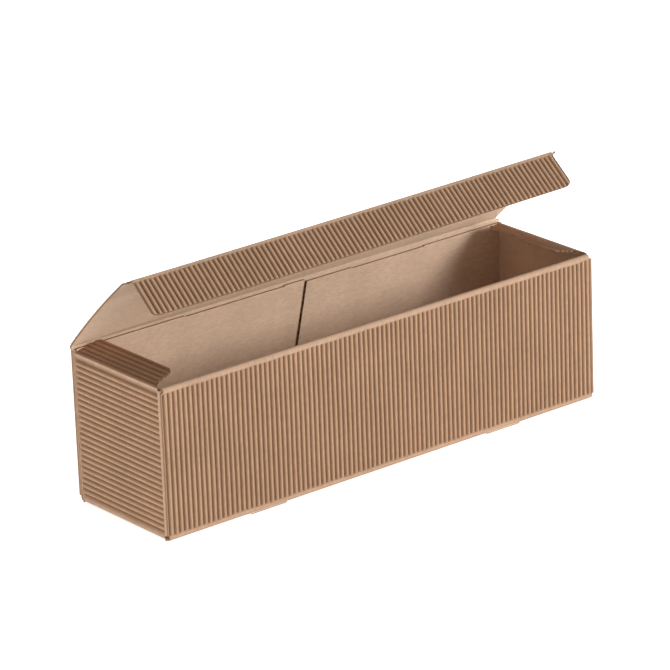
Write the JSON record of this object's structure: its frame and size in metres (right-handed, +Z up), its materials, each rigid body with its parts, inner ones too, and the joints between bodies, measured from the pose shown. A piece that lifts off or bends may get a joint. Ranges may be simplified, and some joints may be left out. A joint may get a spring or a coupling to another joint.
{
  "type": "bottle gift box",
  "caption": "Long one-bottle gift box folded from kraft board with open flutes outside; long side hinged lid with tuck flap, half open.",
  "frame": {"origin": "middle of the bottom, on the plane of the flute crests that the box stands on", "axes": "+X along the box, +Y from the front wall to the hinged back wall, +Z up"},
  "size_m": [0.34, 0.091, 0.1553],
  "materials": {
    "fluted_board": "matt natural kraft board, open flutes outside and a smooth liner inside"
  },
  "bodies": {
    "box_body": {"tray": "fluted_board"},
    "lid": {"lid": "fluted_board"},
    "tuck_flap": {"tuck_flap": "fluted_board"}
  },
  "joints": [
    {"name": "lid_hinge", "type": "hinge", "parent": "box_body", "child": "lid", "pos_m": [0, 0.0437, 0.1006], "axis": [-1, 0, 0], "range_deg": [-42.5, 137.5]},
    {"name": "tuck_crease", "type": "hinge", "parent": "lid", "child": "tuck_flap", "pos_m": [0, -0.01572, 0.15505], "axis": [-1, 0, 0], "range_deg": [-21.25, 68.75]}
  ],
  "couplings": [
    {"joint": "tuck_crease", "follows": "lid_hinge", "ratio": 0.5}
  ]
}
